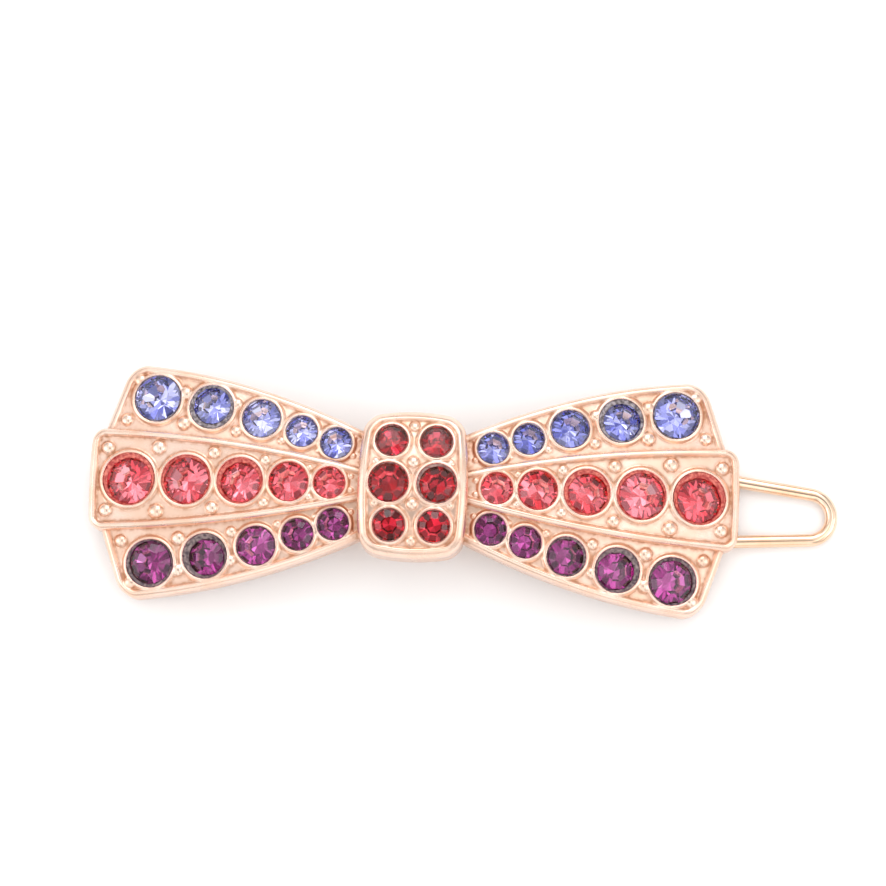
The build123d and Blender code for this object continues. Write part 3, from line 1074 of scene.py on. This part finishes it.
@dataclass
class Studio:
    """White table, soft light from behind and above, a camera nearly overhead.

    Each lamp has its name, place, size in millimetres and power in watts.
    """

    target: tuple = (2.49, 4.34, 0.0)
    azimuth: float = -6.64
    elevation: float = 81.61
    roll: float = -4.61
    distance: float = 250.0
    lens: float = 112.0
    lamps: tuple = (
        ("key_behind", (60, 420, 420), 420, 0.9),
        ("fill_left", (-480, -60, 260), 320, 0.35),
        ("fill_right", (480, -100, 300), 320, 0.35),
    )
    tent: tuple = ((0.3, 0.95), (0.6, 1.35))
    tent_low: tuple = (0.86, 0.85, 0.84, 1)
    tent_high: float = 1.65
    fold_scale: float = 2.6
    fold_light: tuple = (0.45, 1.25)
    lens_shade: float = 0.28
    card_grain_mm: float = 0.6
    table_half: float = 1500.0
    table_points: int = 9

    def lens_way(self) -> np.ndarray:
        """The direction from the clip to the camera."""
        a, e = math.radians(self.azimuth), math.radians(self.elevation)
        return np.array([-math.sin(a) * math.cos(e), -math.cos(a) * math.cos(e), math.sin(e)])

    def camera(self) -> None:
        """Sets the camera by its direction, then rolls it about its own line of sight."""
        a, r = math.radians(self.azimuth), math.radians(self.roll)
        forward = -self.lens_way()
        right = np.array([math.cos(a), -math.sin(a), 0.0])
        up = np.cross(right, forward)
        right, up = right * math.cos(r) + up * math.sin(r), up * math.cos(r) - right * math.sin(r)
        place = (np.array(self.target) - forward * self.distance) * MM
        data = bpy.data.cameras.new("camera")
        data.lens, data.sensor_width = self.lens, 36.0
        data.clip_start, data.clip_end = 0.01, 10.0
        camera = bpy.data.objects.new("camera", data)
        camera.matrix_world = stood(right, up, -forward, place)
        bpy.context.scene.collection.objects.link(camera)
        bpy.context.scene.camera = camera

    def lamp(self, name: str, place: tuple, size: float, power: float) -> None:
        """Adds one square soft light that faces the clip.

        Args:
            name: the lamp's name.
            place: its place in millimetres.
            size: its side in millimetres.
            power: its power in watts.
        """
        data = bpy.data.lights.new(name, "AREA")
        data.size, data.energy = size * MM, power
        lamp = bpy.data.objects.new(name, data)
        where = np.array(place) * MM
        back = where / np.linalg.norm(where)
        side = np.cross([0.0, 1.0, 0.0] if abs(back[1]) < 0.9 else [1.0, 0.0, 0.0], back)
        side /= np.linalg.norm(side)
        lamp.matrix_world = stood(side, np.cross(back, side), back, where)
        bpy.context.scene.collection.objects.link(lamp)

    def world(self) -> None:
        """Puts up a light tent: bright overhead, greyer low down, softly folded, before a white backdrop.

        The tent is darker round one fixed direction, where a lens would look through it.
        """
        world = bpy.data.worlds.new("light_tent")
        world.use_nodes = True
        tree = world.node_tree
        tree.nodes.clear()
        way = add_node(tree, "TexCoord").outputs["Generated"]
        up = add_node(tree, "SeparateXYZ", _0=way).outputs["Z"]
        tent = add_node(tree, "ValToRGB", _0=up)
        ramp = tent.color_ramp
        ramp.elements[0].color = self.tent_low
        ramp.elements[1].color = (*[self.tent_high] * 3, 1)
        for position, level in self.tent:
            ramp.elements.new(position).color = (level, level, level, 1)
        folds = add_node(tree, "TexNoise", Vector=way, Scale=self.fold_scale, Detail=1.0)
        low, high = self.fold_light
        fold = add_node(tree, "MapRange", Value=folds, From_Min=0.36, From_Max=0.62, To_Min=low, To_Max=high)
        lens = add_node(
            tree, "VectorMath", {"operation": "DOT_PRODUCT"}, _0=way, _1=tuple(self.lens_way())
        ).outputs["Value"]
        shade = add_node(
            tree, "MapRange", Value=lens, From_Min=0.955, From_Max=0.985, To_Min=1.0, To_Max=self.lens_shade
        )
        level = add_node(tree, "Math", {"operation": "MULTIPLY"}, _0=fold, _1=shade)
        seen = add_node(tree, "LightPath").outputs["Is Camera Ray"]
        light = add_node(tree, "Background", Color=tent, Strength=level)
        plain = add_node(tree, "Background", Color=(1, 1, 1, 1), Strength=1.0)
        mix = add_node(tree, "MixShader", _0=seen, _1=light, _2=plain)
        add_node(tree, "OutputWorld", Surface=mix)
        bpy.context.scene.world = world

    def table(self, level: float) -> None:
        """Adds the white table at the height that the clip rests on, slightly wavy like coated card.

        It is clear from below, so that the open loop can be seen from under it.

        Args:
            level: its height in millimetres.
        """
        material, tree = new_material("coated_white_card")
        place = add_node(tree, "TexCoord").outputs["Object"]
        grain = add_node(tree, "TexNoise", Vector=place, Scale=1 / (self.card_grain_mm * MM), Detail=3.0)
        bump = add_node(tree, "Bump", Strength=0.15, Distance=0.01 * MM, Height=grain)
        skin = add_node(tree, "BsdfPrincipled", Base_Color=linear("#fdfdfd"), Roughness=0.6, Normal=bump)
        under = add_node(tree, "NewGeometry").outputs["Backfacing"]
        clear = add_node(tree, "BsdfTransparent")
        sheet = add_node(tree, "MixShader", _0=under, _1=skin, _2=clear)
        add_node(tree, "OutputMaterial", Surface=sheet)
        half, count = self.table_half, self.table_points
        x, y = grid((-half, half, count), (-half, half, count))
        points = np.stack([x, y, np.full_like(x, level)], axis=2)
        floor = make_piece("table", points, grid_faces(count, count), [material])

    def build(self, level: float) -> None:
        """Makes the whole studio.

        Args:
            level: height in millimetres at which the clip rests.
        """
        self.camera()
        self.world()
        self.table(level)
        for lamp in self.lamps:
            self.lamp(*lamp)
        settings = bpy.context.scene.view_settings
        settings.view_transform = "Standard"
        settings.exposure = 0.0
        bounces = bpy.context.scene.cycles
        bounces.max_bounces, bounces.glossy_bounces = 16, 10


# ---------------------------------------------------------------- assembly


def read_stones(arch: Arch, lean: float) -> dict[str, Stone]:
    """Reads every stone's place from its CAD node's box.

    Args:
        arch: the casting's arch, for the stones' axes.
        lean: degrees that the side panels slope.

    Returns:
        The stones by CAD name.
    """
    stones = {}
    for name in sorted(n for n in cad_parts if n.startswith("stone_")):
        low, high = (np.array(corner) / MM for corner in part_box(name))
        hue = Hue(name.split("_")[2])
        x, y = (low[:2] + high[:2]) / 2
        diameter = max(high[0] - low[0], high[1] - low[1])
        if hue is Hue.RED:
            axis = np.array([0.0, y, math.sqrt(KnotCap.dome**2 - y * y)])
            axis /= np.linalg.norm(axis)
        else:
            axis = arch.axis(x, y, 0.0 if hue is Hue.CORAL else lean)
        middle_to_girdle = 0.5 * (TIP_DEPTH - TABLE_HEIGHT) * diameter
        stones[name] = Stone(name, hue, (low + high) / 2 + axis * middle_to_girdle, axis, diameter)
    return stones


def report(piece: bpy.types.Object) -> None:
    """Logs a finished piece's name and triangle count."""
    log.info("%s: %d triangles", piece.name, len(piece.data.loops) - 2 * len(piece.data.polygons))


def mount(piece: bpy.types.Object, body: str, node: str) -> None:
    """Puts a piece on its body.

    Args:
        piece: the new piece.
        body: the CAD body that it rides on.
        node: the CAD node that it replaces, or "".
    """
    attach(piece, body)
    if node:
        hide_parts(node)
    report(piece)


def main() -> None:
    """Builds the castings, the stones, the wire and the studio, and rides each piece on its body."""
    logging.basicConfig(level=logging.INFO, format="%(message)s")
    cast = PlatedMetal("rose_gold_plated_casting").make()
    drawn = PlatedMetal(
        "rose_gold_plated_spring_wire", colour="#f8dbc2", warm="#f1caa9", gloss=0.1, ripple_depth_mm=0.002
    ).make()
    bow = BowCasting(cast)
    stones = read_stones(bow.arch, bow.lean)
    for piece in bow.build(stones):
        mount(piece, "bow", "bow_casting")
    mount(KnotCap(cast).build(stones), "bow", "knot_cap")
    for node, piece in StoneSetter().build(stones):
        mount(piece, "bow", node)
    mount(SpringLoop(drawn).build(), "loop", "wire_loop")
    for name in ("hinge_lug", "catch_post"):
        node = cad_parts[name]
        node.data.materials.clear()
        node.data.materials.append(cast)
        report(node)
    Studio().build(CAD_BOX[0][2] / MM)


if __name__ == "__main__":
    main()
